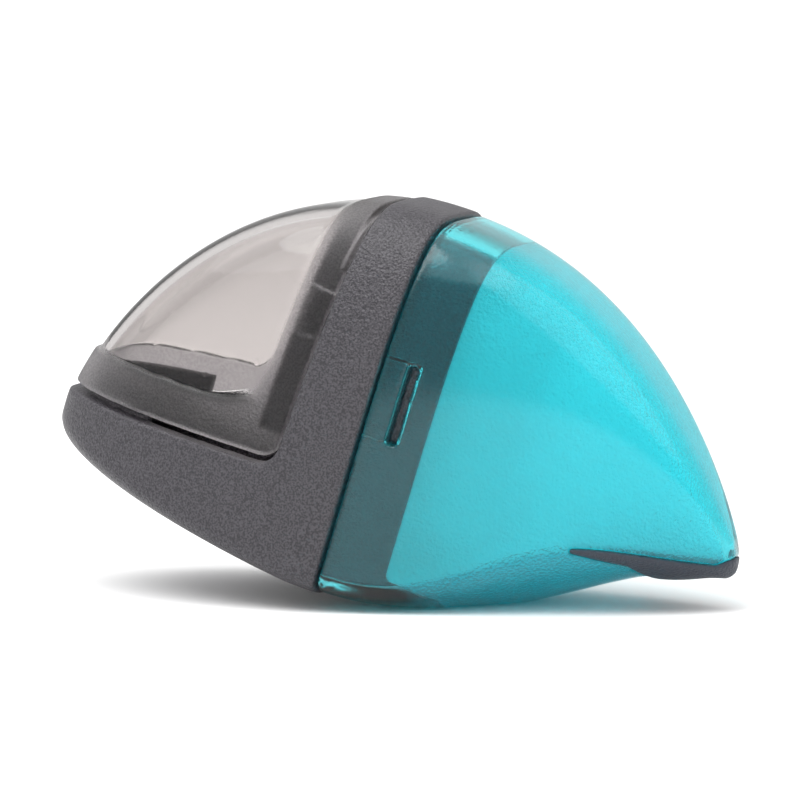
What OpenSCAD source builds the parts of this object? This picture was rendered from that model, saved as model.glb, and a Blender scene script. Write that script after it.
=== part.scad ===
// Hand-held two-hole canister pencil sharpener.
// Half-moon body in three mouldings: a dark frame that runs from the nose up round the middle,
// a smoke-tinted cap over the pencil holes and a tinted container for the shavings.
//
// All pieces are drawn in a working frame: u runs from the nose to the tail, v runs up from the
// keel and y runs across. place() then tips that frame onto the flat that the sharpener rests on.
// The cap slides off the frame, and the frame out of the container, along u.

/* [Form] */
// Nose tip, along u from the working origin
nose_u = -39.95; // [-44:0.05:-36]
// Height of the nose tip above the keel
nose_v = 6.9; // [6:0.1:10]
// Tail tip, along u
tail_u = 31.4; // [30:0.1:40]
// Height of the tail tip
tail_v = 14.7; // [14:0.1:17]
// Place of the highest point, along u
crown_u = -6.8; // [-9:0.1:-4]
// Height of the crown
crown_v = 39.2; // [38:0.05:46]
// Place of the lowest point of the keel, along u
keel_u = -9; // [-12:0.1:-6]
// Place of the widest section, along u
wide_u = -7; // [-12:0.1:-5]
// Width of the body
body_w = 29; // [29:0.5:36]
// Squareness of the shoulders
shoulder_n = 3.8; // [3.5:0.1:6]
// Roundness of the tail edge
tail_round = 1.5; // [1:0.1:2]

// Height of the widest line above the belly, under the band
crease_low = 2.8; // [2:0.1:4]
// How much higher that line swells above the belly behind the band
crease_swell = 3.8; // [2:0.1:5]
// Start and length of that swell, along u
crease_swell_u = -4; // [-6:0.5:0]
crease_swell_l = 17.5; // [14:0.5:20]
// How far the line comes down to the belly again before the tail
crease_fall = 5.1; // [3:0.1:6]
// Start and length of that fall, along u
crease_fall_u = 13; // [10:0.5:16]
crease_fall_l = 17; // [14:0.5:20]
// Height of the keel's lowest line
keel_v = 0.3; // [0:0.05:1]

/* [Stance] */
// How far the working frame tips down towards the tail when the sharpener stands
rest_tilt = 17; // [14:0.5:19]
// Height of the belly that is planed away for the flat
flat_depth = 0.75; // [0.5:0.05:0.8]

/* [Seams] */
// Seam between cap and band where it meets the keel line, along u
cap_seam_u = -13.85; // [-16:0.1:-12.5]
// Lean of that seam towards the tail, which is also the tilt of the pencil axis
cap_seam_lean = 3.2; // [2:0.2:7]
// Seam between band and container, along u
can_seam_u = -5.8; // [-7:0.1:-4]
// Height of the hull's upper edge where it meets the cap seam
hull_v = 11.7; // [11:0.1:12.5]
// Rise of that edge towards the tail
hull_lean = 3.3; // [0:0.1:5]
// Shadow gap between the cap and the hull
shadow_gap = 0.8; // [0.5:0.1:1.2]
// Gap at the two seams of the band
seam_gap = 0.3; // [0.2:0.05:0.5]
// Radius of the corner where the hull turns up into the band
hull_corner_r = 2.4; // [1.5:0.1:4]

/* [Walls and fits] */
// Wall of the frame's hull and band
frame_wall = 2.1; // [1.9:0.1:2.6]
// Wall of the cap
cap_wall = 1.5; // [1.2:0.1:1.8]
// Wall of the container
can_wall = 1.5; // [1.2:0.1:1.6]
// How far the cap's rim lies below the hull and the band
cap_step = 0.3; // [0:0.05:0.4]
// How far the container's skin lies below the band
can_step = 0.25; // [0:0.05:0.4]
// Clearance between a shell and the lip or collar inside it
fit_gap = 0.2; // [0.15:0.05:0.3]
// Wall of the lips and of the collar
lip_wall = 1.3; // [1:0.1:1.6]

/* [Frame] */
// Thickness of the partition that holds the sharpener block
partition_t = 1.8; // [1.4:0.1:2.4]
// Reach of the arched lip into the cap
arch_lip = 3; // [2:0.1:3.4]
// Reach of the collar into the container
collar_l = 6; // [5:0.1:8]
// Extra reach of the collar's tongue along the belly
tongue_l = 4.5; // [3:0.1:6]
// Height of the collar's tongue above the keel
tongue_v = 4.4; // [4:0.1:8]
// Radius of the inner corner between collar and tongue
tongue_r = 1; // [1:0.1:4]
// Height of the nose lip above the hull's edge
nose_lip_h = 3; // [1.4:0.1:3.6]
// Length of the nose lip from the nose tip
nose_lip_l = 11.6; // [8:0.1:14]
// Depth of the sleeve behind the partition that grips the block
sleeve_l = 4; // [3:0.1:5]
// Wall of that sleeve
sleeve_wall = 1.4; // [1:0.1:2]

/* [Cap window] */
// Depth of the polished window below the rim
window_depth = 0.4; // [0.2:0.05:0.6]
// Width of the rim along the seam
rim_w = 2.9; // [2:0.1:6]
// Height of the rail under the window
rail_h = 3.9; // [3:0.1:5]
// Radius of the window's lower corner
window_r = 4; // [1:0.5:7]

/* [Snaps] */
// Length of the container's snap windows
can_snap_l = 8; // [5:0.1:9]
// Width of the container's snap windows
can_snap_w = 1.2; // [1.2:0.1:2.2]
// Distance of those windows from the seam
can_snap_inset = 2.6; // [1.2:0.1:3]
// Length of the cap's snap windows
cap_snap_l = 4.7; // [3:0.1:6]
// Width of the cap's snap windows
cap_snap_w = 1; // [0.8:0.1:1.6]
// Distance of those windows from the seam
cap_snap_inset = 1; // [0.7:0.1:1.2]
// Height of the middle of the container's snap windows
can_snap_v = 21.6; // [18:0.1:25]
// Height of the middle of the cap's snap windows
cap_snap_v = 27.2; // [25:0.1:30]
// Height of the snap bumps above their lip or collar
bump_h = 0.45; // [0.3:0.05:0.5]
// Clearance round a bump in its window and over it in its run-in groove
bump_gap = 0.15; // [0.1:0.05:0.2]
// Width of the thumbnail chamfer on the cap's edge
nail_w = 0.5; // [0.3:0.1:0.8]
// Height that the thumbnail chamfer starts at
nail_v = 32; // [30:0.5:34]

/* [Sharpener block] */
// Length of the block along the pencil
block_l = 21; // [20:0.5:22.5]
// Bore of the standard pencil hole
standard_bore = 8.2; // [8:0.1:8.4]
// Bore of the jumbo pencil hole
jumbo_bore = 11.4; // [10.8:0.1:11.6]
// Distance between the two pencil axes
bore_pitch = 11.2; // [10.8:0.1:11.6]
// Clearance between the block and the frame's wall at the crown
block_head_gap = 4.2; // [2:0.1:5]
// Wall round the bores
bore_wall = 1; // [0.8:0.1:1.2]
// Half of the point angle
point_half = 11.5; // [11:0.5:12]
// Straight entry of the bores, before their cones
entry_l = 4; // [3:0.5:5]
// Hole left at a point
point_bore = 1.6; // [1.2:0.1:2]
// Width of the slots that the shavings leave by
chip_slot = 2.6; // [2:0.1:3]
// Clearance round the block in its sleeve
block_gap = 0.04; // [0.02:0.01:0.08]

/* [Blades] */
// Thickness of a blade
blade_t = 0.6; // [0.5:0.05:0.8]
// Width of the jumbo blade, from its edge
jumbo_blade_w = 6.2; // [6:0.1:6.6]
// Width of the standard blade
standard_blade_w = 5; // [4.8:0.1:5.2]
// Distance from the block's shoulder and tail to the blades' ends
blade_inset = 0.4; // [0.3:0.1:1]
// Width of the ground bevel
bevel_w = 1.4; // [1:0.1:1.8]
// Gap between a blade and its seat
seat_gap = 0.02; // [0.01:0.01:0.05]
// Diameter of the screws' shanks
screw_d = 2; // [1.8:0.1:2.2]
// Diameter of the screws' heads
head_d = 3.6; // [3.4:0.1:3.8]
// Height of the screws' heads
head_h = 0.9; // [0.7:0.1:1.2]
// Length of the screws' shanks
screw_l = 4; // [3.5:0.5:5]
// Clearance round the screws
screw_gap = 0.05; // [0.03:0.01:0.1]

/* [Tail grip] */
// Start of the grip under the tail, along u
grip_u = 16.4; // [16:0.1:20]
// Depth of the grip's flat lower face below the tail tip
grip_drop = 2.1; // [1.5:0.1:2.5]
// Where the grip starts to take in the whole underside of the tail
grip_wrap_u = 24.6; // [24:0.1:26]
// Thickness of the grip
grip_t = 1; // [0.8:0.05:1.1]
// Gap between the grip and the container
grip_gap = 0.05; // [0.03:0.01:0.1]

/* [Hidden] */

// How the outline falls away from the crown and from the keel: exponents of each quarter
CROWN_TO_NOSE = [2.22, 1.53];
CROWN_TO_TAIL = [2.16, 1.1];
KEEL_TO_NOSE = [1.1, 2.09];
KEEL_TO_TAIL = 1.5;
PLAN_NOSE = 2.05;
PLAN_TAIL = 1.5;
STATIONS = 28;
RING = 40;
BIG = 90;
SHARP = 0.01;

half_w = body_w / 2;
shoulder_drop = 0.7;
tail_drop = 1.1;

// ---- the form: closed sections across u, all set in by k ----

function clamp01(x) = min(1, max(0, x));
function smooth(x) = let (s = clamp01(x)) s * s * (3 - 2 * s);
function quarter(d, p, q) = pow(max(0, 1 - pow(clamp01(d), p)), 1 / q);
function blend(a, b, s) = a + (b - a) * s;

// Inside the shells the tail tip pulls back and lifts, because top and belly meet there at an edge
function tail_end(k) = tail_u - 1.7 * k;
function tail_level(k) = tail_v + k;

// Closes the last stretch before the tail tip to a round edge
function tail_close(u, k) =
  let (d = clamp01((u - (tail_end(k) - tail_round)) / tail_round)) sqrt(max(0, 1 - d * d));

function raw_top(u, k) = u < crown_u
  ? nose_v + (crown_v - k - nose_v)
      * quarter((crown_u - u) / (crown_u - nose_u - k), CROWN_TO_NOSE[0], CROWN_TO_NOSE[1])
  : tail_level(k) + shoulder_drop + (crown_v - k - tail_level(k) - shoulder_drop)
      * quarter((u - crown_u) / (tail_end(k) - crown_u), CROWN_TO_TAIL[0], CROWN_TO_TAIL[1]);

// The belly rises to the tail in an S; its inside runs beside it at the wall's thickness
function belly_s(u) =
  keel_v + (tail_v - tail_drop - keel_v) * smooth(pow(clamp01((u - keel_u) / (tail_u - keel_u)), KEEL_TO_TAIL));
function belly_slope(u) = (belly_s(u + 0.1) - belly_s(u - 0.1)) / 0.2;

function raw_bottom(u, k) = u < keel_u
  ? nose_v - (nose_v - keel_v - k)
      * quarter((keel_u - u) / (keel_u - nose_u - k), KEEL_TO_NOSE[0], KEEL_TO_NOSE[1])
  : belly_s(u) + k * sqrt(1 + belly_slope(u) * belly_slope(u));

function top_v(u, k) = blend(tail_level(k), raw_top(u, k), tail_close(u, k));
function bottom_v(u, k) = blend(tail_level(k), raw_bottom(u, k), tail_close(u, k));

function half_width(u, k) = (half_w - k) * (u < wide_u
  ? quarter((wide_u - u) / (wide_u - nose_u - k), PLAN_NOSE, PLAN_NOSE)
  : quarter((u - wide_u) / (tail_end(k) - wide_u), PLAN_TAIL, PLAN_TAIL));

// Height of the widest line: low along the hull, a swell under the container, thin at the tail
function waist_rise(u) =
  crease_low + crease_swell * smooth((u - crease_swell_u) / crease_swell_l)
  - crease_fall * smooth((u - crease_fall_u) / crease_fall_l);
function waist_v(u, k) =
  let (low = bottom_v(u, k), h = top_v(u, k) - low)
  min(low + 0.45 * h, max(low + min(0.4, 0.3 * h), bottom_v(u, 0) + waist_rise(u)));

// The belly is round-cornered under the hull and bevelled under the container
function belly_n(u) = blend(3, 1.6, smooth((u + 4) / 20));

function power(x, e) = sign(x) * pow(abs(x), e);

function ring(u, k) = [
  for (i = [0 : RING - 1])
    let (
      a = 360 * i / RING,
      n = a < 180 ? shoulder_n : belly_n(u),
      reach = a < 180 ? top_v(u, k) - waist_v(u, k) : waist_v(u, k) - bottom_v(u, k)
    )
    [u, half_width(u, k) * power(cos(a), 2 / n), waist_v(u, k) + reach * power(sin(a), 2 / n)]
];

// Stations crowd towards both tips, where the outline turns fastest
function station(i, k) =
  blend(nose_u + k, tail_end(k), (1 + sin(180 * i / STATIONS - 90)) / 2);

module form(k) {
  rings = [for (i = [1 : STATIONS - 1]) ring(station(i, k), k)];
  last = len(rings) - 1;
  points = concat([[nose_u + k, 0, nose_v]], [for (r = rings) each r], [[tail_end(k), 0, tail_level(k)]]);
  function at(r, i) = 1 + r * RING + i % RING;
  polyhedron(points, concat(
    [for (i = [0 : RING - 1]) [0, at(0, i), at(0, i + 1)]],
    [for (r = [0 : last - 1], i = [0 : RING - 1]) [at(r, i), at(r + 1, i + 1), at(r, i + 1)]],
    [for (r = [0 : last - 1], i = [0 : RING - 1]) [at(r, i), at(r + 1, i), at(r + 1, i + 1)]],
    [for (i = [0 : RING - 1]) [len(points) - 1, at(last, i + 1), at(last, i)]]
  ));
}

// A shell between two insets of the form
module skin(outer, inner) {
  difference() {
    form(outer);
    form(inner);
  }
}

// A prism across the whole body from an outline in u and v
module across(points) {
  rotate([90, 0, 0]) linear_extrude(BIG, center = true) polygon(points);
}

// ---- where things lie ----

// The block hangs under the crown, and the grip's flat face lies below the tail tip
jumbo_v = crown_v - frame_wall - block_head_gap - bore_wall - standard_bore / 2 - bore_pitch;
grip_v = tail_v - grip_drop;

// A point on the cap seam, moved off towards the tail by s
function cap_seam(v, s = 0) = [cap_seam_u + v * tan(cap_seam_lean) + s / cos(cap_seam_lean), v];

rail_v = hull_v + shadow_gap;
window_v = rail_v + rail_h;
collar_k = can_step + can_wall + fit_gap;
arch_k = cap_step + cap_wall + fit_gap;

// Height at u of an edge that runs along the hull and meets the cap seam at the height v
function edge_v(u, v) = v + (u - cap_seam(v)[0]) * tan(hull_lean);

// The arc that rounds the corner where such an edge turns up along the cap seam
function corner_arc(r, v, s) =
  let (
    corner = [cap_seam(v, s)[0], edge_v(cap_seam(v, s)[0], v)],
    reach = r / tan((90 + hull_lean + cap_seam_lean) / 2),
    c = corner - reach * [cos(hull_lean), sin(hull_lean)] + r * [-sin(hull_lean), cos(hull_lean)],
    turn = 90 - hull_lean - cap_seam_lean
  )
  [for (i = [0 : 6]) let (a = hull_lean - 90 + turn * i / 6) c + r * [cos(a), sin(a)]];

// Everything below the hull's edge, or between the two seams
module frame_region() {
  across(concat(
    [[-BIG, edge_v(-BIG, hull_v)]],
    corner_arc(hull_corner_r, hull_v, 0),
    [cap_seam(BIG), [can_seam_u, BIG], [can_seam_u, -BIG], [-BIG, -BIG]]
  ));
}

module cap_region() {
  across(concat(
    [[-BIG, edge_v(-BIG, rail_v)]],
    corner_arc(hull_corner_r - shadow_gap, rail_v, -seam_gap),
    [cap_seam(BIG, -seam_gap), [-BIG, BIG]]
  ));
}

module can_region() {
  mouth = can_seam_u + seam_gap;
  across([[mouth, -BIG], [mouth, BIG], [BIG, BIG], [BIG, -BIG]]);
}

// A slab parallel to the cap seam, from s to s + t towards the tail, above the height v
module seam_slab(s, t, v) {
  across([cap_seam(v, s), cap_seam(BIG, s), cap_seam(BIG, s + t), cap_seam(v, s + t)]);
}

// Tips the working frame onto the flat and centres the whole over the origin
function row_x(p) = p[0] * cos(rest_tilt) + p[1] * sin(rest_tilt);
outline = [
  for (i = [1 : STATIONS - 1]) let (u = station(i, 0)) each [[u, top_v(u, 0)], [u, bottom_v(u, 0)]]
];
outline_x = [for (p = outline) row_x(p)];
middle_x = (min(outline_x) + max(outline_x)) / 2;
ground = min([for (p = outline) p[1] * cos(rest_tilt) - p[0] * sin(rest_tilt)]) + flat_depth;

module place() {
  translate([-middle_x, 0, -ground]) rotate([0, rest_tilt, 0]) children();
}

// Smooth mouldings are worked out as one mesh, because they have no true curves to keep
module moulded() {
  resize([0, 0, 0]) children();
}

// ---- frame ----

// Outer faces of the lips and of the collar that the two shells slide over
module lip_region() {
  // Arched lip into the cap, above the hull
  seam_slab(-arch_lip - seam_gap, arch_lip + seam_gap + 1, rail_v + hull_corner_r);
  // Lip round the nose
  end = nose_u + nose_lip_l;
  across([
    [-BIG, edge_v(-BIG, hull_v) - lip_root], [-BIG, edge_v(-BIG, hull_v) + nose_lip_h],
    [end, edge_v(end, hull_v) + nose_lip_h], [end, edge_v(end, hull_v) - lip_root]
  ]);
}

module collar_region() {
  across(concat(
    [[can_seam_u - 1, -BIG], [can_seam_u - 1, BIG], [collar_u, BIG]],
    [for (i = [0 : 6]) [collar_u, tongue_v] + tongue_r * [1 - cos(15 * i), 1 - sin(15 * i)]],
    [[collar_u + tongue_l, tongue_v], [collar_u + tongue_l, -BIG]]
  ));
}

// Where the frame is only as thick as its wall: the hull below the lip's root, and mid-band
module thin_region() {
  end = nose_u + nose_lip_l;
  across([
    [-BIG, -BIG], [-BIG, edge_v(-BIG, hull_v) - lip_root], [end, edge_v(end, hull_v) - lip_root],
    [end, BIG], cap_seam(BIG, -BIG), cap_seam(-BIG, 0)
  ]);
}

inner_k = collar_k + lip_wall;
lip_root = 3;
collar_u = can_seam_u + collar_l;

// Bumps that click into the windows of cap and container
module snap_bumps() {
  intersection() {
    skin(collar_k - bump_h, collar_k + lip_wall / 2);
    can_snap(bump_gap);
  }
  intersection() {
    skin(arch_k - bump_h, arch_k + lip_wall / 2);
    cap_snap(bump_gap);
  }
}

// Prisms across both side walls: a snap window set in by g
module can_snap(g) {
  u = can_seam_u + can_snap_inset;
  across([
    [u + g, can_snap_v - can_snap_l / 2 + g], [u + g, can_snap_v + can_snap_l / 2 - g],
    [u + can_snap_w - g, can_snap_v + can_snap_l / 2 - g],
    [u + can_snap_w - g, can_snap_v - can_snap_l / 2 + g]
  ]);
}

module cap_snap(g) {
  low = cap_snap_v - cap_snap_l / 2 + g;
  high = cap_snap_v + cap_snap_l / 2 - g;
  near = -seam_gap - cap_snap_inset - g;
  far = near - cap_snap_w + 2 * g;
  across([cap_seam(low, near), cap_seam(high, near), cap_seam(high, far), cap_seam(low, far)]);
}

module frame() {
  color("dimgray") place() moulded() {
    difference() {
      union() {
        intersection() {
          form(0);
          frame_region();
        }
        intersection() {
          form(arch_k);
          lip_region();
        }
        intersection() {
          form(collar_k);
          collar_region();
        }
      }
      form(inner_k);
      intersection() {
        form(frame_wall);
        thin_region();
      }
    }
    // Partition across the band, with the sleeve for the block
    difference() {
      union() {
        intersection() {
          form(frame_wall / 2);
          seam_slab(0, partition_t, -BIG);
        }
        on_block() translate([0, 0, 0])
          block_box(sleeve_l, sleeve_wall);
      }
      on_block() translate([-1, 0, 0]) block_box(block_l + 2, block_gap);
    }
    snap_bumps();
  }
}

// ---- cap ----

// The side outline of the window, with a round lower corner
module window_region() {
  across(concat(
    [[-BIG, edge_v(-BIG, window_v)]],
    corner_arc(window_r, window_v, -seam_gap - rim_w),
    [cap_seam(BIG, -seam_gap - rim_w), [-BIG, BIG]]
  ));
}

module cap() {
  color("silver", 0.6) place() moulded() difference() {
    intersection() {
      skin(cap_step, cap_step + cap_wall);
      cap_region();
    }
    // Polished window, set in over the crown and round the nose
    intersection() {
      skin(-1, cap_step + window_depth);
      window_region();
    }
    // Snap windows, each with a run-in groove from the edge
    intersection() {
      skin(-1, cap_step + cap_wall + 1);
      cap_snap(0);
    }
    intersection() {
      skin(arch_k - bump_h - bump_gap, cap_step + cap_wall + 1);
      run_in(cap_snap_l, cap_snap_v, true);
    }
    // Thumbnail chamfer at the edge, over the shoulder
    intersection() {
      skin(-1, cap_step + nail_w);
      seam_slab(-seam_gap - nail_w, 2 * nail_w, nail_v);
    }
  }
}

// The groove that a bump slides along on its way out of the cap or of the container
module run_in(l, v, to_cap) {
  low = v - l / 2;
  high = v + l / 2;
  if (to_cap)
    across([
      cap_seam(low, -seam_gap - cap_snap_inset - cap_snap_w / 2), cap_seam(low, 1),
      cap_seam(high, 1), cap_seam(high, -seam_gap - cap_snap_inset - cap_snap_w / 2)
    ]);
  else
    across([
      [can_seam_u - 1, low], [can_seam_u + can_snap_inset + can_snap_w / 2, low],
      [can_seam_u + can_snap_inset + can_snap_w / 2, high], [can_seam_u - 1, high]
    ]);
}

// ---- container ----

module container() {
  color("darkturquoise", 0.7) place() moulded() difference() {
    intersection() {
      skin(can_step, can_step + can_wall);
      can_region();
    }
    intersection() {
      skin(-1, can_step + can_wall + 1);
      can_snap(0);
    }
    intersection() {
      skin(collar_k - bump_h - bump_gap, can_step + can_wall + 1);
      run_in(can_snap_l, can_snap_v, false);
    }
    // Recess for the grip under the tail
    intersection() {
      skin(-1, grip_t + grip_gap);
      grip_region(grip_gap);
    }
    // The flat that it rests on
    across([
      [-BIG, -BIG * tan(rest_tilt) + ground / cos(rest_tilt)],
      [BIG, BIG * tan(rest_tilt) + ground / cos(rest_tilt)],
      [BIG, -BIG]
    ]);
  }
}

// ---- tail grip ----

// Between the widest line and a flat face, and right round the underside of the tail tip
grip_keel_w = 10;
tip_l = 2.2;
tip_rise = 0.8;
grip_flat_l = 3.6;
wrap_run = 0.5;
wrap_fall = 1.9;

module grip_region(g) {
  difference() {
    across(grip_outline(g));
    // The keel stays with the container up to where the grip wraps round
    translate([grip_wrap_u - g - BIG, g - grip_keel_w / 2, -BIG / 2])
      cube([BIG, grip_keel_w - 2 * g, BIG]);
  }
}

function grip_outline(g) =
  let (line = [
    for (i = [0 : 10])
      let (u = blend(grip_u, tail_u - tip_l, i / 10)) [u, waist_v(u, can_step) + g]
  ])
  concat(
    [[grip_u - g, grip_v - g]],
    [[grip_u - g, waist_v(grip_u, can_step) + g]],
    line,
    // The tip itself is all grip, under a line that rises to its end
    [line[10] + tip_l * [2, 2 * tip_rise], line[10] + [BIG, tip_l * 2 * tip_rise], [BIG, -BIG]],
    // Its lower face falls away to the underside before it wraps round
    [
      [grip_wrap_u - g - wrap_run, -BIG],
      [grip_wrap_u - g - wrap_run, grip_v - g - wrap_fall], [grip_u + grip_flat_l - g, grip_v - g]
    ]
  );

module tail_grip() {
  color("slategray") place() moulded() intersection() {
    skin(0, grip_t);
    grip_region(0);
  }
}

// ---- sharpener block ----

// Block frame: x along the pencils into the container, y across, z up along the partition,
// from the jumbo axis at the partition's face
module on_block() {
  translate([cap_seam(jumbo_v)[0], 0, jumbo_v]) rotate([0, cap_seam_lean, 0]) children();
}

jumbo_r = jumbo_bore / 2;
standard_r = standard_bore / 2;
block_side = jumbo_r + bore_wall;
block_low = -jumbo_r - bore_wall;
block_high = bore_pitch + standard_r + bore_wall;

module block_box(l, g) {
  translate([0, -block_side - g, block_low - g])
    cube([l, 2 * (block_side + g), block_high - block_low + 2 * g]);
}

// Both cones touch one sloping face, so the standard axis lies nearer to it
standard_y = jumbo_r - standard_r;

// The sloping face: x along it from the shoulder, z up, y out of it
module on_face() {
  translate([entry_l, jumbo_r, 0]) rotate([0, 0, -point_half]) children();
}

face_l = (block_l - entry_l) / cos(point_half);

module bore(r) {
  cone_l = (r - point_bore / 2) / tan(point_half);
  rotate([0, 90, 0]) {
    translate([0, 0, -1]) cylinder(h = entry_l + 1, r = r, $fn = 64);
    translate([0, 0, entry_l - SHARP]) cylinder(h = cone_l + SHARP, r1 = r, r2 = point_bore / 2, $fn = 64);
    cylinder(h = block_l + 2, r = point_bore / 2, $fn = 32);
  }
}

module sharpener_block() {
  color("lightsteelblue") place() on_block() difference() {
    translate([0, 0, block_low]) linear_extrude(block_high - block_low) polygon([
      [0, -block_side], [block_l, -block_side],
      [block_l, jumbo_r - (block_l - entry_l) * tan(point_half)],
      [entry_l, jumbo_r], [entry_l, block_side], [0, block_side]
    ]);
    bore(jumbo_r);
    translate([0, standard_y, bore_pitch]) bore(standard_r);
    // Slots that let the shavings out beside each edge
    on_face() {
      translate([0, -standard_r, 0]) cube([face_l + 1, standard_r + 1, chip_slot]);
      translate([0, -standard_r / 2, bore_pitch - chip_slot])
        cube([face_l + 1, standard_r / 2 + 1, chip_slot]);
    }
    screw_hole(jumbo_screw_z);
    screw_hole(standard_screw_z);
  }
}

jumbo_screw_z = -jumbo_blade_w / 2;
standard_screw_z = bore_pitch + standard_blade_w / 2 - 0.4;
screw_x = face_l / 2;

module screw_hole(z) {
  on_face() translate([screw_x, seat_gap, z]) rotate([90, 0, 0])
    cylinder(h = screw_l + 1, d = screw_d + 2 * screw_gap, $fn = 32);
}

// ---- blades and screws ----

// A blade lies on the sloping face with its edge on the cone's line; side is where its back lies
module blade(w, side, z, screw_z) {
  color("gainsboro") place() on_block() on_face() difference() {
    translate([blade_inset, seat_gap, z]) rotate([90, 0, 90])
      linear_extrude(face_l - 2 * blade_inset) polygon([
        [0, 0], [0, side * w], [blade_t, side * w], [blade_t, side * bevel_w]
      ]);
    translate([screw_x, blade_t + 1, screw_z]) rotate([90, 0, 0])
      cylinder(h = blade_t + 2, d = screw_d + 2 * screw_gap, $fn = 32);
  }
}

module blade_jumbo() {
  blade(jumbo_blade_w, -1, 0, jumbo_screw_z);
}

module blade_standard() {
  blade(standard_blade_w, 1, bore_pitch, standard_screw_z);
}

module screw(z) {
  color("silver") place() on_block() on_face() translate([screw_x, blade_t + 2 * seat_gap, z])
    rotate([90, 0, 0]) difference() {
      union() {
        translate([0, 0, -head_h]) cylinder(h = head_h, d = head_d, $fn = 48);
        cylinder(h = screw_l, d = screw_d, $fn = 32);
      }
      // Cross slots
      for (a = [0, 90]) rotate([0, 0, a + 30])
        translate([-head_d / 2 - 1, -0.25, -head_h - 1]) cube([head_d + 2, 0.5, 1.45]);
    }
}

module screw_jumbo() {
  screw(jumbo_screw_z);
}

module screw_standard() {
  screw(standard_screw_z);
}

container();
tail_grip();
frame();
cap();
sharpener_block();
blade_standard();
blade_jumbo();
screw_standard();
screw_jumbo();
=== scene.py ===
"""Looks of the hand-held two-hole canister sharpener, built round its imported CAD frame.

The four mouldings (container, tail grip, frame, cap) are worked out again as distance fields
over the same form as in part.scad, so that their edges can be rounded, their walls have a true
thickness for light to pass through, and the window of the cap can be set in with a slope.
Lengths are millimetres in the working frame: u from nose to tail, v up from the keel, y across.
"""

import math

import bpy
import numpy as np
import openvdb
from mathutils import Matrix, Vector


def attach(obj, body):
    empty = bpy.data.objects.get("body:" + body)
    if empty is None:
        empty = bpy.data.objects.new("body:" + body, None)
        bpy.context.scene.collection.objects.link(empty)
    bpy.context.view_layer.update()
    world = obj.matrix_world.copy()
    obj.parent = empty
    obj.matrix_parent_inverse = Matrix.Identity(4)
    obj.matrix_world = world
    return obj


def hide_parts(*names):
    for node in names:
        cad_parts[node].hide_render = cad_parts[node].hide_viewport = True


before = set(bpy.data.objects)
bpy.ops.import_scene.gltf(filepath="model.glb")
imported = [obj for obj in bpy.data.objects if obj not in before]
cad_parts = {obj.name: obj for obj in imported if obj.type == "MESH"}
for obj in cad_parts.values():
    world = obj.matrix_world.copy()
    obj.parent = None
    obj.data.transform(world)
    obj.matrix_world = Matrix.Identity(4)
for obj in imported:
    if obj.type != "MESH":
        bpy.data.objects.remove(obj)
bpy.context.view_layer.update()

MM = 0.001
VOXEL = 0.2  # edge of a cell of the distance fields

# ---- sizes, as in part.scad ----

NOSE_U, NOSE_V = -39.95, 6.9
TAIL_U, TAIL_V = 31.4, 14.7
CROWN_U, CROWN_V = -6.8, 39.2
KEEL_U, KEEL_V = -9.0, 0.3
WIDE_U, HALF_W = -7.0, 14.5
SHOULDER_N, SHOULDER_DROP = 3.8, 0.7
CREASE_LOW, CREASE_SWELL, CREASE_SWELL_U, CREASE_SWELL_L = 2.8, 3.8, -4.0, 17.5
CREASE_FALL, CREASE_FALL_U, CREASE_FALL_L = 5.1, 13.0, 17.0
TAIL_ROUND, TAIL_DROP = 1.5, 1.1
CROWN_TO_NOSE, CROWN_TO_TAIL = (2.22, 1.53), (2.16, 1.1)
KEEL_TO_NOSE, KEEL_TO_TAIL = (1.1, 2.09), 1.5
PLAN_NOSE, PLAN_TAIL = 2.05, 1.5

REST_TILT = math.radians(17)
FLAT_DEPTH = 0.75

CAP_SEAM_U, CAP_SEAM_LEAN = -13.85, math.radians(3.2)
CAN_SEAM_U = -5.8
HULL_V, HULL_LEAN = 11.7, math.radians(3.3)
SHADOW_GAP, SEAM_GAP = 0.8, 0.3
HULL_CORNER_R = 2.4

FRAME_WALL, CAP_WALL, CAN_WALL = 2.1, 1.5, 1.5
CAP_STEP, CAN_STEP = 0.3, 0.25
FIT_GAP, LIP_WALL = 0.2, 1.3
PARTITION_T, ARCH_LIP = 1.8, 3.0
COLLAR_L, TONGUE_L, TONGUE_V, TONGUE_R = 6.0, 4.5, 4.4, 1.0
NOSE_LIP_H, NOSE_LIP_L, LIP_ROOT = 3.0, 11.6, 3.0
SLEEVE_L, SLEEVE_WALL = 4.0, 1.4

WINDOW_DEPTH, RIM_W, RAIL_H = 0.4, 2.9, 3.9
# The slope into the window: its width, its rise at the rail, and its outer and inner corners
SLOPE_W, SLOPE_RISE, SLOPE_OUTER_R, SLOPE_INNER_R = 1.2, 0.15, 1.2, 7.0
CAN_SNAP_L, CAN_SNAP_W, CAN_SNAP_INSET, CAN_SNAP_V, CAN_SNAP_R = 8.0, 1.2, 2.6, 21.6, 0.15
CAP_SNAP_L, CAP_SNAP_W, CAP_SNAP_INSET, CAP_SNAP_V, CAP_SNAP_R = 4.7, 1.0, 1.0, 27.2, 0.35
BUMP_H, BUMP_GAP = 0.45, 0.15
IMPRINT = 0.15  # depth of the cap's snap mark, which is closed over the bump
# The grooves that let the bumps in. One is centred past the middle of the cap's snap mark,
# the other before the near edge of the container's
CAP_RUN_IN, CAN_RUN_IN, GROOVE_R = 3.4, 4.4, 0.1
CAP_RUN_ON, CAN_RUN_BACK = 0.4, 1.0
NAIL_W, NAIL_DEPTH, NAIL_V = 0.5, 1.2, 32.0

BLOCK_L, STANDARD_BORE, JUMBO_BORE, BORE_PITCH = 21.0, 8.2, 11.4, 11.2
BLOCK_HEAD_GAP, BORE_WALL, BLOCK_GAP = 4.2, 1.0, 0.04

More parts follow.
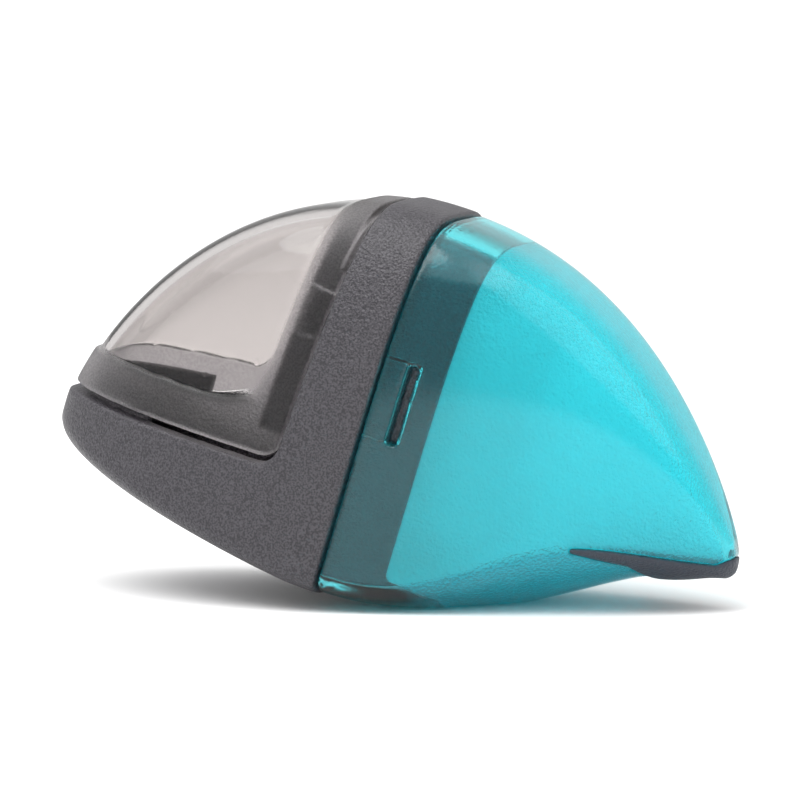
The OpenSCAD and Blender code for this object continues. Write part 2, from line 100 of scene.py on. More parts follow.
GRIP_U, GRIP_DROP, GRIP_WRAP_U = 16.4, 2.1, 23.2
GRIP_T, GRIP_GAP = 1.0, 0.05
TIP_L, TIP_RISE, TIP_R = 2.2, 0.8, 1.3
# The tail's underside is a little finer than in part.scad, and its strip a little fuller
BELLY_LIFT, LIFT_U, LIFT_IN, LIFT_END_U = 0.35, 12, 8, 21.5
WRAP_FULL, WRAP_U, WRAP_END_U, BELLY_FADE = 0.35, 22.5, 26.5, 4
BELLY_N_FRONT, BELLY_N_BACK, BELLY_N_U, BELLY_N_L = 3, 1.6, -4, 20  # power of its sections
# The widest line over the bottom: its most and least as shares of the section's height,
# and the least in mm that stands in where that is lower
WAIST_MOST, WAIST_LOW, WAIST_LEAST = 0.45, 0.3, 0.4
SLANT_AFTER, SLANT_BEFORE, SLANT_DROP = 3, 1.5, 3  # the slanted end of the strip's wrap
TIP_CUT = 0.2  # how far before the tip of the tail its strip ends

BIG = 90.0
EDGE = 0.25  # roundness of a moulded edge, where no other is given
REGION_EDGE, CAP_EDGE, MOUTH_EDGE = 0.3, 0.2, 0.35  # at the seams
CAN_EDGE, FINE_EDGE, MARK_EDGE = 0.15, 0.1, 0.05
MARGIN, REACH = 1.5, 1.4  # of the grid round the form, and of a piece's stretch of it
BELLY_SHADE = 0.35  # how far the painted shade deepens the tint under the crease
OUTSIDE = EDGE + 4  # what a field holds outside its stretch of the grid
FROST_FADE, SHADE_FADE = 0.3, 0.6  # lengths that the container's frosting and its painted shade fade over

COLLAR_K = CAN_STEP + CAN_WALL + FIT_GAP
ARCH_K = CAP_STEP + CAP_WALL + FIT_GAP
INNER_K = COLLAR_K + LIP_WALL
RAIL_V = HULL_V + SHADOW_GAP
WINDOW_V = RAIL_V + RAIL_H
COLLAR_U = CAN_SEAM_U + COLLAR_L
JUMBO_V = CROWN_V - FRAME_WALL - BLOCK_HEAD_GAP - BORE_WALL - STANDARD_BORE / 2 - BORE_PITCH
GRIP_V = TAIL_V - GRIP_DROP


# ---- the form ----


def smooth(x):
    t = np.clip(x, 0, 1)
    return t * t * (3 - 2 * t)


def quarter(d, p, q):
    return np.maximum(0, 1 - np.clip(d, 0, 1) ** p) ** (1 / q)


def mix(a, b, t):
    return a + (b - a) * t


def tail_close(u):
    d = np.clip((u - (TAIL_U - TAIL_ROUND)) / TAIL_ROUND, 0, 1)
    return np.sqrt(np.maximum(0, 1 - d * d))


def top_v(u):
    to_nose = NOSE_V + (CROWN_V - NOSE_V) * quarter(
        (CROWN_U - u) / (CROWN_U - NOSE_U), *CROWN_TO_NOSE
    )
    shoulder = TAIL_V + SHOULDER_DROP
    to_tail = shoulder + (CROWN_V - shoulder) * quarter(
        (u - CROWN_U) / (TAIL_U - CROWN_U), *CROWN_TO_TAIL
    )
    return mix(TAIL_V, np.where(u < CROWN_U, to_nose, to_tail), tail_close(u))


def bottom_v(u):
    to_nose = NOSE_V - (NOSE_V - KEEL_V) * quarter(
        (KEEL_U - u) / (KEEL_U - NOSE_U), *KEEL_TO_NOSE
    )
    rise = np.clip((u - KEEL_U) / (TAIL_U - KEEL_U), 0, 1) ** KEEL_TO_TAIL
    to_tail = KEEL_V + (TAIL_V - TAIL_DROP - KEEL_V) * smooth(rise)
    return mix(TAIL_V, np.where(u < KEEL_U, to_nose, to_tail), tail_close(u))


def belly_v(u):
    """The bottom as it is seen: finer before the strip wraps under it, fuller after."""
    lift = smooth((u - LIFT_U) / LIFT_IN) - smooth((u - LIFT_END_U) / BELLY_FADE)
    fall = smooth((u - WRAP_U) / BELLY_FADE) - smooth((u - WRAP_END_U) / BELLY_FADE)
    return bottom_v(u) + BELLY_LIFT * lift - WRAP_FULL * fall


def half_width(u):
    to_nose = quarter((WIDE_U - u) / (WIDE_U - NOSE_U), PLAN_NOSE, PLAN_NOSE)
    to_tail = quarter((u - WIDE_U) / (TAIL_U - WIDE_U), PLAN_TAIL, PLAN_TAIL)
    return HALF_W * np.where(u < WIDE_U, to_nose, to_tail)


def waist_v(u):
    """Height of the widest line: the crease low on the container."""
    low = bottom_v(u)
    h = top_v(u) - low
    rise = (
        CREASE_LOW
        + CREASE_SWELL * smooth((u - CREASE_SWELL_U) / CREASE_SWELL_L)
        - CREASE_FALL * smooth((u - CREASE_FALL_U) / CREASE_FALL_L)
    )
    least = np.minimum(WAIST_LEAST, WAIST_LOW * h)
    return np.minimum(low + WAIST_MOST * h, np.maximum(low + least, low + rise))


def belly_n(u):
    return mix(BELLY_N_FRONT, BELLY_N_BACK, smooth((u - BELLY_N_U) / BELLY_N_L))


def form_mesh(stations=240, ring=320):
    """Points and faces of the form: closed sections across u."""
    u = mix(NOSE_U, TAIL_U, (1 - np.cos(math.pi * np.arange(1, stations) / stations)) / 2)
    a = 2 * math.pi * np.arange(ring) / ring
    uu, aa = np.meshgrid(u, a, indexing="ij")
    upper = aa < math.pi
    n = np.where(upper, SHOULDER_N, belly_n(uu))
    waist = waist_v(uu)
    reach = np.where(upper, top_v(uu) - waist, waist - belly_v(uu))

    def power(x):
        return np.sign(x) * np.abs(x) ** (2 / n)

    rings = np.stack(
        [uu, half_width(uu) * power(np.cos(aa)), waist + reach * power(np.sin(aa))], -1
    ).reshape(-1, 3)
    tips = np.array([[NOSE_U, 0, NOSE_V], [TAIL_U, 0, TAIL_V]])
    points = np.concatenate([rings, tips]).astype(np.float32)
    row = np.arange(stations - 2)[:, None] * ring
    here, there = np.arange(ring)[None, :], (np.arange(ring)[None, :] + 1) % ring
    quads = np.stack([row + here, row + there, row + ring + there, row + ring + here], -1)
    nose, tail = len(rings), len(rings) + 1
    last = (stations - 2) * ring
    caps = [
        np.stack([np.full(ring, nose), there[0], here[0]], -1),
        np.stack([np.full(ring, tail), last + here[0], last + there[0]], -1),
    ]
    return points, quads.reshape(-1, 4).astype(np.uint32), np.concatenate(caps).astype(np.uint32)


ORIGIN = [math.floor(x / VOXEL) for x in (NOSE_U - MARGIN, -HALF_W - MARGIN, KEEL_V - MARGIN)]
CELLS = [
    math.ceil((hi + MARGIN) / VOXEL) - o
    for hi, o in zip((TAIL_U, HALF_W, CROWN_V), ORIGIN)
]


def form_field():
    """Distance to the form over the whole grid, negative inside."""
    points, quads, tris = form_mesh()
    grid = openvdb.FloatGrid.createLevelSetFromPolygons(
        points,
        triangles=tris,
        quads=quads,
        transform=openvdb.createLinearTransform(VOXEL),
        exBandWidth=6,
        inBandWidth=(INNER_K + 1) / VOXEL,
    )
    field = np.zeros(CELLS, np.float32)
    grid.copyToArray(field, ijk=tuple(ORIGIN))
    return field


# ---- fields: negative inside ----


def both(a, b, r=EDGE):
    """What lies in a and in b, with its edge rounded to the radius r."""
    if r == 0:
        return np.maximum(a, b)
    inner = np.minimum(np.maximum(a, b), -r)
    return inner + np.hypot(np.maximum(a + r, 0), np.maximum(b + r, 0))


def without(a, b, r=EDGE):
    return both(a, -b, r)


def either(a, b, r=0.0):
    return np.minimum(a, b) if r == 0 else -both(-a, -b, r)


class Space:
    """A stretch of the grid along u, with the form's distance in it."""

    def __init__(self, field, low, high):
        first = max(0, math.floor(low / VOXEL) - ORIGIN[0])
        last = min(CELLS[0], math.ceil(high / VOXEL) - ORIGIN[0])
        self.ijk = (ORIGIN[0] + first, ORIGIN[1], ORIGIN[2])
        self.form = field[first:last]
        counts = self.form.shape
        self.u, self.y, self.v = np.meshgrid(
            *[
                (self.ijk[axis] + np.arange(counts[axis], dtype=np.float32)) * VOXEL
                for axis in range(3)
            ],
            indexing="ij",
            sparse=True,
        )

    def across(self, outline):
        """Distance to a prism across the body with that outline in u and v."""
        p = np.array(outline, float)
        q = np.roll(p, -1, axis=0)
        u, v = self.u[:, 0, :], self.v[0, :, :]
        best = np.full((u.shape[0], v.shape[1]), 1e9)
        inside = np.zeros_like(best, bool)
        for (au, av), (bu, bv) in zip(p, q):
            eu, ev = bu - au, bv - av
            if eu * eu + ev * ev < 1e-12:
                continue
            t = np.clip(((u - au) * eu + (v - av) * ev) / (eu * eu + ev * ev), 0, 1)
            best = np.minimum(best, np.hypot(u - au - t * eu, v - av - t * ev))
            if av != bv:
                crosses = (av > v) != (bv > v)
                inside ^= crosses & (u < au + (v - av) * eu / ev)
        signed = np.where(inside, -best, best)
        return signed[:, None, :].astype(np.float32)

    def bar(self, centre, length, width, lean, r):
        """Distance to a round-cornered bar across the body."""
        du, dv = self.u - centre[0], self.v - centre[1]
        along = np.abs(dv * math.cos(lean) + du * math.sin(lean)) - length / 2 + r
        side = np.abs(du * math.cos(lean) - dv * math.sin(lean)) - width / 2 + r
        outside = np.hypot(np.maximum(along, 0), np.maximum(side, 0))
        return outside + np.minimum(np.maximum(along, side), 0) - r


def cap_seam(v, s=0.0):
    """A point on the cap seam, moved off towards the tail by s."""
    return (CAP_SEAM_U + v * math.tan(CAP_SEAM_LEAN) + s / math.cos(CAP_SEAM_LEAN), v)


def edge_v(u, v):
    """Height at u of an edge that runs along the hull and meets the cap seam at v."""
    return v + (u - cap_seam(v)[0]) * math.tan(HULL_LEAN)


def corner_arc(r, v, s):
    """The arc that rounds the corner where such an edge turns up along the cap seam."""
    corner_u = cap_seam(v, s)[0]
    reach = r / math.tan((math.pi / 2 + HULL_LEAN + CAP_SEAM_LEAN) / 2)
    c, d = math.cos(HULL_LEAN), math.sin(HULL_LEAN)
    centre = (corner_u - reach * c - r * d, edge_v(corner_u, v) - reach * d + r * c)
    turn = math.pi / 2 - HULL_LEAN - CAP_SEAM_LEAN
    angles = [HULL_LEAN - math.pi / 2 + turn * i / 12 for i in range(13)]
    return [(centre[0] + r * math.cos(a), centre[1] + r * math.sin(a)) for a in angles]


def seam_slab(s, t, v):
    return [cap_seam(v, s), cap_seam(BIG, s), cap_seam(BIG, s + t), cap_seam(v, s + t)]


def block_axes():
    """Origin and axes of the sharpener block's frame in u and v."""
    c, s = math.cos(CAP_SEAM_LEAN), math.sin(CAP_SEAM_LEAN)
    return cap_seam(JUMBO_V), (c, -s), (s, c)


def block_box(space, low_x, high_x, gap):
    """Distance to the block's box, grown by gap across it."""
    (ou, ov), (xu, xv), (zu, zv) = block_axes()
    x = (space.u - ou) * xu + (space.v - ov) * xv
    z = (space.u - ou) * zu + (space.v - ov) * zv
    side = JUMBO_BORE / 2 + BORE_WALL + gap
    low_z = -JUMBO_BORE / 2 - BORE_WALL - gap
    high_z = BORE_PITCH + STANDARD_BORE / 2 + BORE_WALL + gap
    return np.maximum(
        np.maximum(np.abs(space.y) - side, np.maximum(low_z - z, z - high_z)),
        np.maximum(low_x - x, x - high_x),
    )


def can_snap_bar(space, grow=0.0):
    u = CAN_SEAM_U + CAN_SNAP_INSET + CAN_SNAP_W / 2
    return space.bar(
        (u, CAN_SNAP_V), CAN_SNAP_L + 2 * grow, CAN_SNAP_W + 2 * grow, 0.0, CAN_SNAP_R
    )


def cap_snap_bar(space, grow=0.0):
    centre = cap_seam(CAP_SNAP_V, -SEAM_GAP - CAP_SNAP_INSET - CAP_SNAP_W / 2)
    return space.bar(
        centre, CAP_SNAP_L + 2 * grow, CAP_SNAP_W + 2 * grow, CAP_SEAM_LEAN, CAP_SNAP_R
    )


def collar_outline():
    """The collar that the container slides over, with its tongue below the crease."""
    turn = [math.pi * i / 24 for i in range(13)]
    tongue = [
        (COLLAR_U + TONGUE_R * (1 - math.cos(a)), TONGUE_V + TONGUE_R * (1 - math.sin(a)))
        for a in turn
    ]
    end_u = COLLAR_U + TONGUE_L
    top = [(CAN_SEAM_U - 1, -BIG), (CAN_SEAM_U - 1, BIG), (COLLAR_U, BIG)]
    return top + tongue + [(end_u, TONGUE_V), (end_u, -BIG)]


def frame_field(space):
    d = space.form
    region = space.across(
        [(-BIG, edge_v(-BIG, HULL_V))]
        + corner_arc(HULL_CORNER_R, HULL_V, 0)
        + [cap_seam(BIG), (CAN_SEAM_U, BIG), (CAN_SEAM_U, -BIG), (-BIG, -BIG)]
    )
    lip_end = NOSE_U + NOSE_LIP_L
    far, near = edge_v(-BIG, HULL_V), edge_v(lip_end, HULL_V)
    nose_lip = space.across(
        [
            (-BIG, far - LIP_ROOT),
            (-BIG, far + NOSE_LIP_H),
            (lip_end, near + NOSE_LIP_H),
            (lip_end, near - LIP_ROOT),
        ]
    )
    arch_lip = space.across(
        seam_slab(-ARCH_LIP - SEAM_GAP, ARCH_LIP + SEAM_GAP + 1, RAIL_V + HULL_CORNER_R)
    )
    collar = space.across(collar_outline())
    thin = space.across(
        [
            (-BIG, -BIG),
            (-BIG, far - LIP_ROOT),
            (lip_end, near - LIP_ROOT),
            (lip_end, RAIL_V + HULL_CORNER_R),
            cap_seam(RAIL_V + HULL_CORNER_R),
            cap_seam(-BIG),
        ]
    )
    skin = both(d, region, REGION_EDGE)
    lips = either(both(d + ARCH_K, nose_lip), both(d + ARCH_K, arch_lip))
    skin = either(either(skin, lips), both(d + COLLAR_K, collar))
    skin = without(skin, d + INNER_K, 0)
    skin = without(skin, both(d + FRAME_WALL, thin, 0), 0)
    wall = both(
        d + FRAME_WALL / 2, space.across(seam_slab(0, PARTITION_T, -BIG)), 0
    )
    sleeve = block_box(space, 0, SLEEVE_L, SLEEVE_WALL)
    hole = block_box(space, -1, BLOCK_L + 1, BLOCK_GAP)
    skin = either(skin, without(either(wall, sleeve), hole, 0))
    bumps = either(
        both(d + COLLAR_K - BUMP_H, can_snap_bar(space, -BUMP_GAP), FINE_EDGE),
        both(d + ARCH_K - BUMP_H, cap_snap_bar(space, -BUMP_GAP), FINE_EDGE),
    )
    bumps = np.maximum(bumps, -(d + COLLAR_K + LIP_WALL / 2))
    return either(skin, bumps)


def window_share(space):
    """How far the cap's surface is set in, from 0 on the rim to 1 in the window."""
    right = -SEAM_GAP - RIM_W

    def outline(v, s, r):
        edge = [(-BIG, edge_v(-BIG, v))] + corner_arc(r, v, s)
        return edge + [cap_seam(BIG, s), (-BIG, BIG)]

    outer = space.across(outline(WINDOW_V, right, SLOPE_OUTER_R))
    inner = space.across(outline(WINDOW_V + SLOPE_RISE, right - SLOPE_W, SLOPE_INNER_R))
    share = np.clip(-outer, 0, None) / np.clip(
        np.clip(-outer, 0, None) + np.clip(inner, 0, None), 1e-6, None
    )
    return smooth(share).astype(np.float32)


def cap_field(space):
    region = space.across(
        [(-BIG, edge_v(-BIG, RAIL_V))]
        + corner_arc(HULL_CORNER_R - SHADOW_GAP, RAIL_V, -SEAM_GAP)
        + [cap_seam(BIG, -SEAM_GAP), (-BIG, BIG)]
    )
    outer = space.form + CAP_STEP + WINDOW_DEPTH * window_share(space)
    skin = both(outer, region, CAP_EDGE)
    skin = without(skin, space.form + CAP_STEP + CAP_WALL, FINE_EDGE)
    imprint = np.maximum(cap_snap_bar(space), -(space.form + CAP_STEP + IMPRINT))
    skin = without(skin, imprint, MARK_EDGE)
    middle = cap_seam(CAP_SNAP_V, CAP_RUN_ON - SEAM_GAP - CAP_SNAP_INSET - CAP_SNAP_W / 2)
    groove = space.bar(middle, CAP_SNAP_L, CAP_RUN_IN, CAP_SEAM_LEAN, GROOVE_R)
    groove = np.maximum(groove, space.form + ARCH_K - BUMP_H - BUMP_GAP)
    skin = np.maximum(skin, -groove)
    nail = np.maximum(
        space.across(seam_slab(-SEAM_GAP - NAIL_W, 2 * NAIL_W, NAIL_V)),
        -(space.form + CAP_STEP + NAIL_DEPTH),
    )
    return without(skin, nail, FINE_EDGE)


def container_field(space):
    d = space.form
    mouth = CAN_SEAM_U + SEAM_GAP
    region = space.across([(mouth, -BIG), (mouth, BIG), (BIG, BIG), (BIG, -BIG)])
    skin = both(d + CAN_STEP, region, MOUTH_EDGE)
    skin = without(skin, d + CAN_STEP + CAN_WALL, CAN_EDGE)
    skin = without(skin, can_snap_bar(space), MARK_EDGE)
    centre = (CAN_SEAM_U + CAN_SNAP_INSET - CAN_RUN_BACK, CAN_SNAP_V)
    groove = space.bar(centre, CAN_SNAP_L, CAN_RUN_IN, 0.0, GROOVE_R)
    skin = np.maximum(skin, -np.maximum(groove, d + COLLAR_K - BUMP_H - BUMP_GAP))
    recess = np.maximum(grip_region(space, GRIP_GAP), -(d + GRIP_T + GRIP_GAP))
    skin = without(skin, recess, FINE_EDGE)
    low = space.v * math.cos(REST_TILT) - space.u * math.sin(REST_TILT)
    return both(skin, GROUND - low, CAN_EDGE)


def grip_region(space, gap):
    """Distance to the tail strip's outline, grown by gap at its edges."""
    line = [
        (u, float(waist_v(np.array(u))) + gap)
        for u in np.linspace(GRIP_U, TAIL_U - TIP_L, 24)
    ]
    end_u, end_v = line[-1]
    rise = 2 * TIP_L * TIP_RISE
    after_u = GRIP_WRAP_U + SLANT_AFTER - gap
    return space.across(
        [(GRIP_U - gap, GRIP_V - gap), (GRIP_U - gap, line[0][1])]
        + line
        + [(end_u + 2 * TIP_L, end_v + rise), (end_u + BIG, end_v + rise), (BIG, -BIG)]
        + [(after_u, -BIG), (after_u, GRIP_V - SLANT_DROP)]
        + [(GRIP_WRAP_U - SLANT_BEFORE - gap, GRIP_V - gap)]
    )


def grip_field(space):
    tail = both(space.form, space.u - (TAIL_U - TIP_CUT), TIP_R)
    skin = both(tail, grip_region(space, 0.0), REGION_EDGE)
    return without(skin, space.form + GRIP_T, FINE_EDGE)


# ---- from the fields to pieces in the row frame ----

STATIONS = 28  # of the CAD loft, whose outline the whole is centred by


def loft_middle():
    """Middle of the CAD loft's outline along X, and the height of its lowest point."""
    i = np.arange(1, STATIONS)
    u = mix(NOSE_U, TAIL_U, (1 + np.sin(math.pi * i / STATIONS - math.pi / 2)) / 2)
    c, s = math.cos(REST_TILT), math.sin(REST_TILT)
    x = np.concatenate([u * c + top_v(u) * s, u * c + bottom_v(u) * s])
    return (x.min() + x.max()) / 2, (bottom_v(u) * c - u * s).min()


MIDDLE_X, LOWEST = loft_middle()
GROUND = LOWEST + FLAT_DEPTH


def to_row(vectors):
    """Turns working-frame vectors by the rest tilt."""
    c, s = math.cos(REST_TILT), math.sin(REST_TILT)
    u, y, v = vectors[:, 0], vectors[:, 1], vectors[:, 2]
    return np.stack([u * c + v * s, y, v * c - u * s], -1)


def sample(field, at):
    """The field at points given in cells, linearly between them."""
    low = np.clip(np.floor(at).astype(int), 0, np.array(field.shape) - 2)
    t = at - low
    total = 0
    for i in (0, 1):
        for j in (0, 1):
            for k in (0, 1):
                w = (
                    (t[:, 0] if i else 1 - t[:, 0])
                    * (t[:, 1] if j else 1 - t[:, 1])
                    * (t[:, 2] if k else 1 - t[:, 2])
                )
                total = total + w * field[low[:, 0] + i, low[:, 1] + j, low[:, 2] + k]
    return total


def sample_across(field, cells):
    """A field that is the same all across the body, at points given in cells."""
    return sample(np.repeat(field, 2, axis=1), cells * (1, 0, 1))


def moulding(name, space, field, body, material):
    """The piece NAME_look from its field, and its points in cells of the space."""
    grid = openvdb.FloatGrid(OUTSIDE)
    grid.copyFromArray(np.ascontiguousarray(field, np.float32), ijk=space.ijk)
    grid.transform = openvdb.createLinearTransform(VOXEL)
    points, tris, quads = grid.convertToPolygons(isovalue=0.0, adaptivity=0.0)
    cells = points / VOXEL - np.array(space.ijk)
    normals = np.stack([sample(g, cells) for g in np.gradient(field)], -1)
    normals /= np.maximum(np.linalg.norm(normals, axis=1, keepdims=True), 1e-9)
    faces = [tuple(f) for f in quads.tolist()] + [tuple(f) for f in tris.tolist()]
    a, b, c = (points[[f[i] for f in faces]] for i in (0, 1, 2))
    facing = np.einsum("ij,ij->i", np.cross(b - a, c - a), normals[[f[0] for f in faces]])
    if (facing > 0).mean() < 0.5:
        faces = [f[::-1] for f in faces]
    row = to_row(points.astype(float)) - np.array([MIDDLE_X, 0, GROUND])
    mesh = bpy.data.meshes.new(name)
    mesh.from_pydata((row * MM).tolist(), [], faces)
    mesh.shade_smooth()
    mesh.normals_split_custom_set_from_vertices(to_row(normals).tolist())
    mesh.materials.append(material)
    piece = bpy.data.objects.new(name, mesh)
    bpy.context.scene.collection.objects.link(piece)
    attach(piece, body)
    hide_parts(name.replace("_look", ""))
    return piece, cells


def add_share(piece, values, name):
    """A value for each point, which the material reads."""
    attribute = piece.data.attributes.new(name, "FLOAT", "POINT")
    attribute.data.foreach_set("value", np.asarray(values, np.float32))


# ---- materials ----

# Scales of the noise: eroded grain, relief inside the container, cast metal, specks of colour
ERODED, ORANGE_PEEL, CAST, SPECKS = 3600, 3200, 900, 5200
SPECK_LOW, SPECK_HIGH = 0.35, 0.65  # the noise between which a speck goes from dark to light


def new_material(name):
    material = bpy.data.materials.new(name)
    material.use_nodes = True
    nodes = material.node_tree.nodes
    return material, material.node_tree, nodes["Principled BSDF"]


def noise_over(tree, scale, detail):
    """Noise of that scale to the metre over the object's coordinates."""
    coords = tree.nodes.new("ShaderNodeTexCoord")
    noise = tree.nodes.new("ShaderNodeTexNoise")
    noise.inputs["Scale"].default_value = scale
    noise.inputs["Detail"].default_value = detail
    tree.links.new(coords.outputs["Object"], noise.inputs["Vector"])
    return noise.outputs["Fac"]


def grain(tree, surface, scale, distance):
    """A fine relief on the surface."""
    bump = tree.nodes.new("ShaderNodeBump")
    bump.inputs["Distance"].default_value = distance
    tree.links.new(noise_over(tree, scale, 2), bump.inputs["Height"])
    tree.links.new(bump.outputs["Normal"], surface.inputs["Normal"])
    return bump


def speckle(tree):
    """From 0 to 1 in fine specks, as on a spark-eroded moulding."""
    contrast = tree.nodes.new("ShaderNodeMapRange")
    contrast.inputs["From Min"].default_value = SPECK_LOW
    contrast.inputs["From Max"].default_value = SPECK_HIGH
    tree.links.new(noise_over(tree, SPECKS, 0), contrast.inputs["Value"])
    return contrast.outputs["Result"]


def share_of(tree, name):
    """The value that add_share gave to each point under that name."""
    share = tree.nodes.new("ShaderNodeAttribute")
    share.attribute_name = name
    return share.outputs["Fac"]


def ends(node):
    """The two colour inputs of a mix of colours."""
    return [i for i in node.inputs if i.enabled and i.name in "AB"]


def ranged(tree, share, low, high, socket):
    """Feeds a socket with low where the share is 0 and high where it is 1."""
    if isinstance(low, tuple):
        node = tree.nodes.new("ShaderNodeMix")
        node.data_type = "RGBA"
        for end, colour in zip(ends(node), (low, high)):
            end.default_value = (*colour, 1)
        tree.links.new(share, node.inputs["Factor"])
    else:
        node = tree.nodes.new("ShaderNodeMapRange")
        node.inputs["To Min"].default_value = low
        node.inputs["To Max"].default_value = high
        tree.links.new(share, node.inputs["Value"])
    tree.links.new(next(o for o in node.outputs if o.enabled), socket)
    return node


def plain(name, roughness, colour=None, **sockets):
    """A material with its constants on the shader's own sockets."""
    material, tree, surface = new_material(name)
    surface.inputs["Roughness"].default_value = roughness
    if colour:
        surface.inputs["Base Color"].default_value = (*colour, 1)
    for socket, value in sockets.items():
        surface.inputs[socket.replace("_", " ")].default_value = value
    return material, tree, surface


charcoal, tree, surface = plain("charcoal_plastic", 0.4)
ranged(
    tree, speckle(tree), (0.02, 0.018, 0.023), (0.058, 0.054, 0.063), surface.inputs["Base Color"]
)
grain(tree, surface, ERODED, 0.0002)

slate, tree, surface = plain("slate_grip", 0.45, (0.02, 0.026, 0.04))
grain(tree, surface, ERODED, 0.0002)

# Clear and glossy outside and over the collar, frosted on the rest of its inside
turquoise, tree, surface = plain("turquoise_clear", 0.08, IOR=1.46, Specular_IOR_Level=0.15)
frost, painted_shade = share_of(tree, "frost"), share_of(tree, "painted_shade")
# Painted shade: by this share the tint goes from bright cyan to deep cyan, partly under the
# crease and fully on the inside over the collar
ranged(tree, painted_shade, (0.15, 0.91, 0.98), (0.01, 0.55, 0.68), surface.inputs["Base Color"])
ranged(tree, frost, 1.0, 0.45, surface.inputs["Transmission Weight"])
ranged(tree, frost, 0.08, 0.5, surface.inputs["Roughness"])
bump = grain(tree, surface, ORANGE_PEEL, 0.0002)
ranged(tree, frost, 0.05, 1.0, bump.inputs["Strength"])

# Polished in the window, eroded and darker on the rim
smoke, tree, surface = plain(
    "smoke_clear", 0.5, IOR=1.33, Specular_IOR_Level=0.4, Transmission_Weight=1.0
)
polish = share_of(tree, "polish")
tint = ranged(tree, polish, (0, 0, 0), (0.69, 0.66, 0.65), surface.inputs["Base Color"])
ranged(tree, speckle(tree), (0.34, 0.325, 0.335), (0.52, 0.5, 0.51), ends(tint)[0])
ranged(tree, polish, 0.5, 0.06, surface.inputs["Roughness"])
bump = grain(tree, surface, ERODED, 0.0001)
ranged(tree, polish, 1.0, 0.0, bump.inputs["Strength"])

aluminium, tree, surface = plain("cast_aluminium", 0.38, (0.62, 0.62, 0.63), Metallic=1.0)
grain(tree, surface, CAST, 0.00003)
steel = plain("ground_steel", 0.22, (0.66, 0.66, 0.68), Metallic=1.0)[0]
plated = plain("plated_steel", 0.25, (0.7, 0.7, 0.7), Metallic=1.0)[0]

for node, material in {
    "sharpener_block": aluminium,
    "blade_standard": steel,
    "blade_jumbo": steel,
    "screw_standard": plated,
    "screw_jumbo": plated,
}.items():
    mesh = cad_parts[node].data
    mesh.materials.clear()
    mesh.materials.append(material)

# ---- the mouldings ----

form = form_field()

# Each stretch of the grid reaches a little past its piece

space = Space(form, NOSE_U - REACH, COLLAR_U + TONGUE_L + 2)
moulding("frame_look", space, frame_field(space), "frame", charcoal)

space = Space(form, NOSE_U - REACH, CAP_SEAM_U + 6)
cap, cells = moulding("cap_look", space, cap_field(space), "cap", smoke)
add_share(cap, sample_across(window_share(space), cells), "polish")

space = Space(form, CAN_SEAM_U - 1, TAIL_U + REACH)
can, cells = moulding(
    "container_look", space, container_field(space), "container", turquoise
)
inner = sample(space.form, cells) < -CAN_STEP - CAN_WALL / 2
past_collar = smooth(sample_across(space.across(collar_outline()), cells) / FROST_FADE)
add_share(can, inner * past_collar, "frost")
points_u, points_v = ((cells[:, i] + space.ijk[i]) * VOXEL for i in (0, 2))
# Painted shade: the tint deepens partly under the crease, where the underside faces down, and
# fully on the inside over the dark collar
below_crease = smooth((waist_v(points_u) - points_v) / SHADE_FADE)
over_collar = inner * (1 - past_collar)
add_share(can, np.maximum(BELLY_SHADE * below_crease, over_collar), "painted_shade")

space = Space(form, GRIP_U - 2, TAIL_U + REACH)
moulding("tail_grip_look", space, grip_field(space), "container", slate)

# ---- camera, floor and light ----

PHOTO_SIZE = 800
TARGET_PAST_MIDDLE, TARGET_Z = -0.647, 19.8  # what the photograph is centred on
TARGET = Vector((TARGET_PAST_MIDDLE - MIDDLE_X, 0, TARGET_Z)) * MM
AZIMUTH, ELEVATION, DISTANCE = math.radians(18), math.radians(6), 0.48
PIXELS_PER_MM = 10.08
TARGET_PIXEL_Y = 397.5
SENSOR = 36

camera_data = bpy.data.cameras.new("photo_camera")
camera_data.sensor_width = SENSOR
camera_data.lens = SENSOR * DISTANCE * 1000 * PIXELS_PER_MM / PHOTO_SIZE
camera_data.shift_y = -(PHOTO_SIZE / 2 - TARGET_PIXEL_Y) / PHOTO_SIZE
camera_data.clip_start, camera_data.clip_end = 0.01, 20
camera = bpy.data.objects.new("photo_camera", camera_data)
bpy.context.scene.collection.objects.link(camera)
back = Vector(
    (
        math.sin(AZIMUTH) * math.cos(ELEVATION),
        -math.cos(AZIMUTH) * math.cos(ELEVATION),
        math.sin(ELEVATION),
    )
)
camera.location = TARGET + back * DISTANCE
camera.rotation_mode = "QUATERNION"
camera.rotation_quaternion = (-back).to_track_quat("-Z", "Y")
bpy.context.scene.camera = camera
bpy.context.scene.view_settings.view_transform = "Standard"


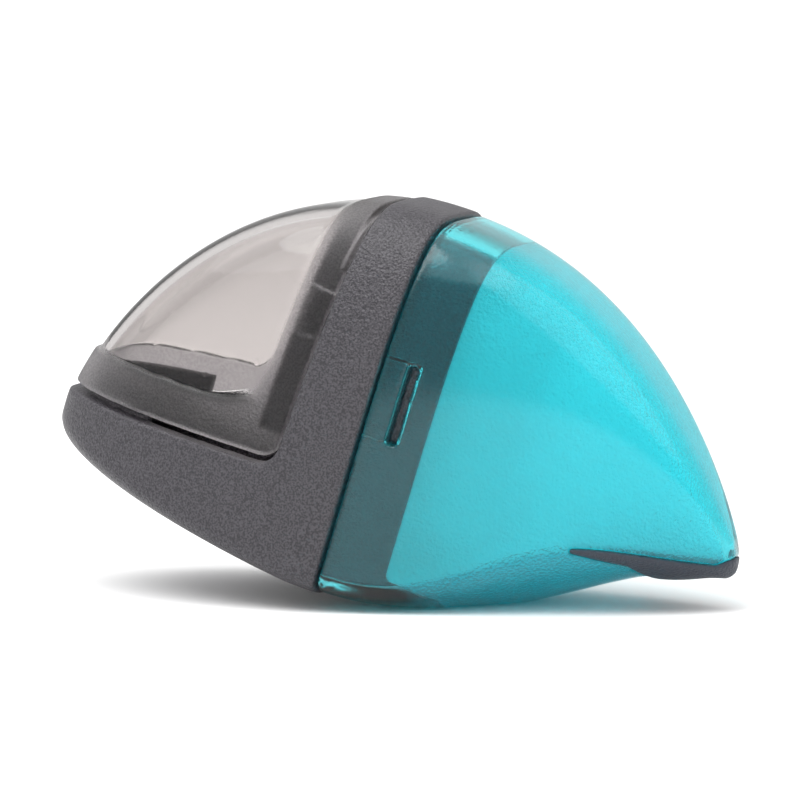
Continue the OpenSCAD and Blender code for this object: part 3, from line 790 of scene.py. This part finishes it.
def white_background(tree, shader, out):
    """Seen directly or through clear plastic, the world is plain white.

    Is Glossy Ray isn't among the rays, so a reflection shows the dimmer world instead.
    """
    path = tree.nodes.new("ShaderNodeLightPath")
    white = tree.nodes.new("ShaderNodeBackground")
    white.inputs["Color"].default_value = (1, 1, 1, 1)
    seen = path.outputs["Is Camera Ray"]
    for ray in ("Is Transmission Ray",):
        either_ray = tree.nodes.new("ShaderNodeMath")
        either_ray.operation = "MAXIMUM"
        tree.links.new(seen, either_ray.inputs[0])
        tree.links.new(path.outputs[ray], either_ray.inputs[1])
        seen = either_ray.outputs[0]
    switch = tree.nodes.new("ShaderNodeMixShader")
    tree.links.new(seen, switch.inputs["Fac"])
    tree.links.new(shader, switch.inputs[1])
    tree.links.new(white.outputs[0], switch.inputs[2])
    tree.links.new(switch.outputs[0], out.inputs["Surface"])


SKY_STRENGTH, SUN_STRENGTH, SUN_SPREAD = 0.72, 1.5, math.radians(80)

world = bpy.data.worlds.new("studio")
bpy.context.scene.world = world
world.use_nodes = True
sky = world.node_tree.nodes["Background"]
sky.inputs["Color"].default_value = (1, 1, 1, 1)
sky.inputs["Strength"].default_value = SKY_STRENGTH
white_background(world.node_tree, sky.outputs[0], world.node_tree.nodes["World Output"])

floor_mesh = bpy.data.meshes.new("floor")
FLOOR, FLOOR_GAP = 3.0, 0.00002  # the gap keeps the flat base off the floor's own plane
floor_mesh.from_pydata(
    [(-FLOOR, -FLOOR, 0), (FLOOR, -FLOOR, 0), (FLOOR, FLOOR, 0), (-FLOOR, FLOOR, 0)],
    [],
    [(0, 1, 2, 3)],
)
floor_material, _, floor_surface = new_material("pale_floor")
floor_surface.inputs["Base Color"].default_value = (0.93, 0.93, 0.93, 1)
floor_surface.inputs["Roughness"].default_value = 0.9
floor_surface.inputs["Specular IOR Level"].default_value = 0.1
floor_mesh.materials.append(floor_material)
floor = bpy.data.objects.new("floor", floor_mesh)
floor.location.z = -FLOOR_GAP
bpy.context.scene.collection.objects.link(floor)


def soft_light(name, place, size, power):
    data = bpy.data.lights.new(name, "AREA")
    data.shape = "DISK"
    data.size = size
    data.energy = power
    light = bpy.data.objects.new(name, data)
    light.location = place
    light.rotation_mode = "QUATERNION"
    light.rotation_quaternion = (TARGET - Vector(place)).to_track_quat("-Z", "Y")
    bpy.context.scene.collection.objects.link(light)


sun_data = bpy.data.lights.new("overhead", "SUN")
sun_data.energy = SUN_STRENGTH
sun_data.angle = SUN_SPREAD
sun = bpy.data.objects.new("overhead", sun_data)
sun.rotation_euler = (math.radians(12), math.radians(-14), 0)
bpy.context.scene.collection.objects.link(sun)
soft_light("key", (-0.12, -0.2, 0.55), 0.5, 2.0)
soft_light("side", (0.5, -0.15, 0.5), 0.8, 1.5)
